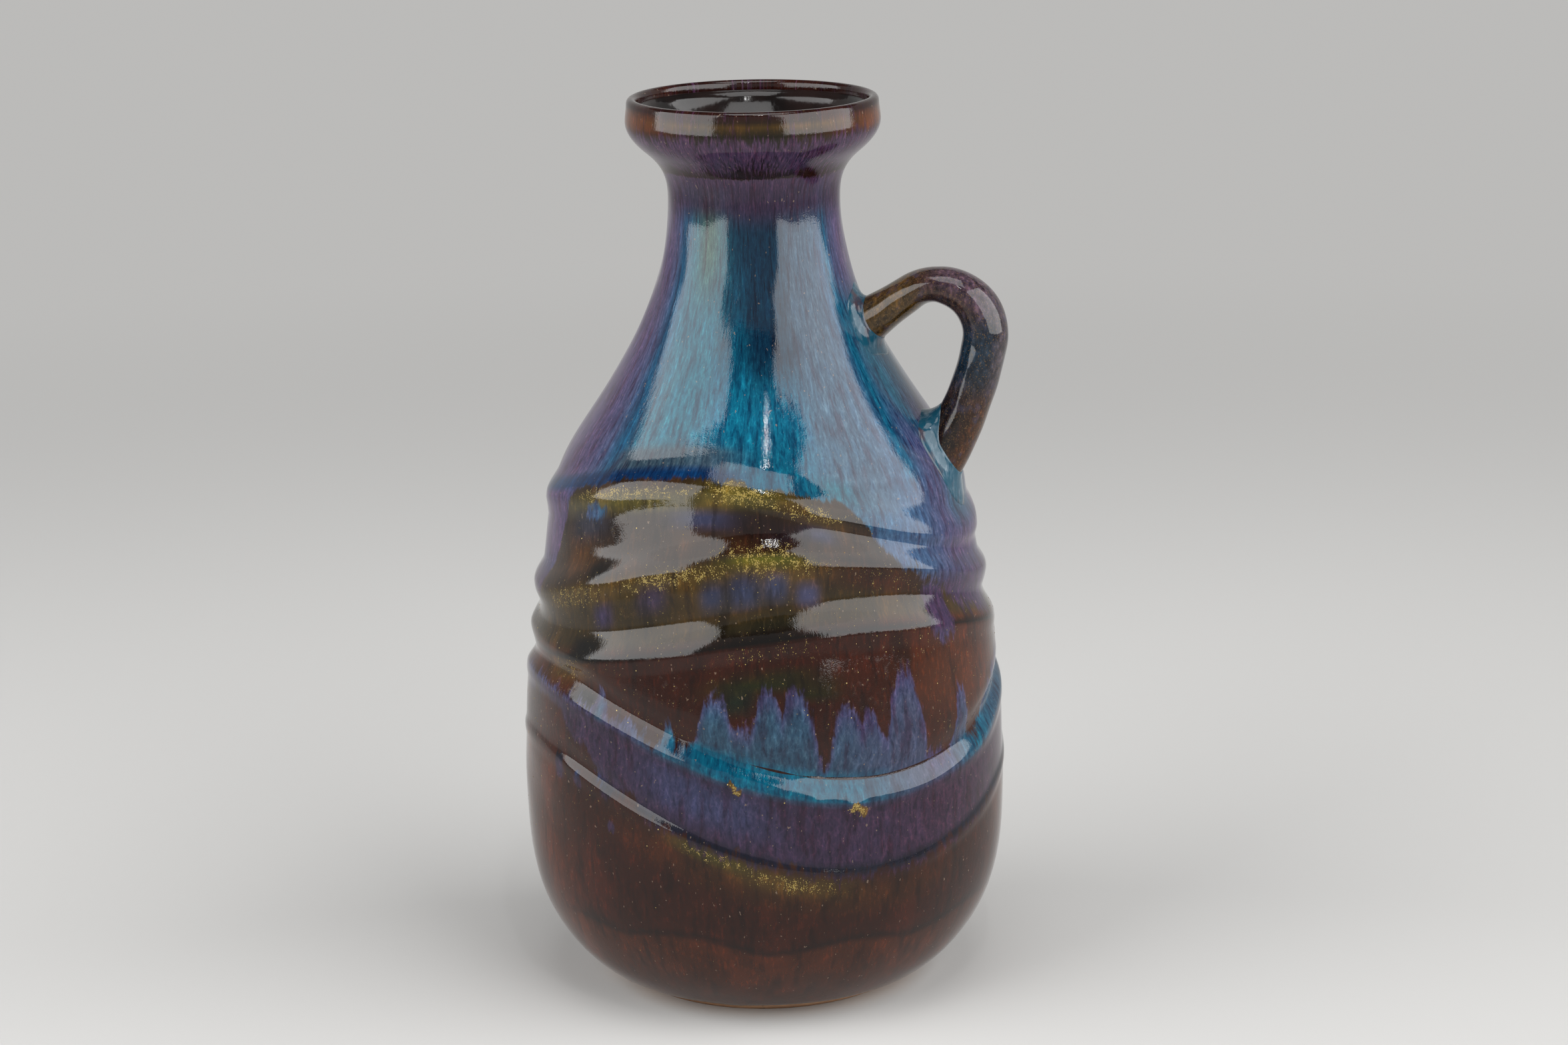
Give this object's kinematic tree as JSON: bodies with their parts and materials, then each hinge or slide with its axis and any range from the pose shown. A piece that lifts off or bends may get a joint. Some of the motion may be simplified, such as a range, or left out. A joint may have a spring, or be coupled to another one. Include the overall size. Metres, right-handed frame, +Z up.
{
  "type": "stoneware pottery vase",
  "caption": "Jug-shaped stoneware vase with a flared collar, a strap finger handle and wavy ledges under a streaked running glaze.",
  "frame": {"origin": "centre of the foot ring, on the plane that the vase stands on", "axes": "+Z up the axis of the body to the mouth, +X towards the handle, +Y to its left seen from above with the handle at the right"},
  "size_m": [0.1165, 0.114, 0.21],
  "materials": {
    "stoneware_clay": "matte",
    "flowing_glaze": "gloss",
    "liner_glaze": "gloss",
    "handle_glaze": "gloss",
    "luting_slip": "satin"
  },
  "bodies": {
    "root": {"stoneware_body": "stoneware_clay", "outer_glaze": "flowing_glaze", "liner_glaze": "liner_glaze", "handle": "stoneware_clay", "handle_glaze": "handle_glaze", "upper_handle_lute": "luting_slip", "lower_handle_lute": "luting_slip"}
  },
  "joints": []
}
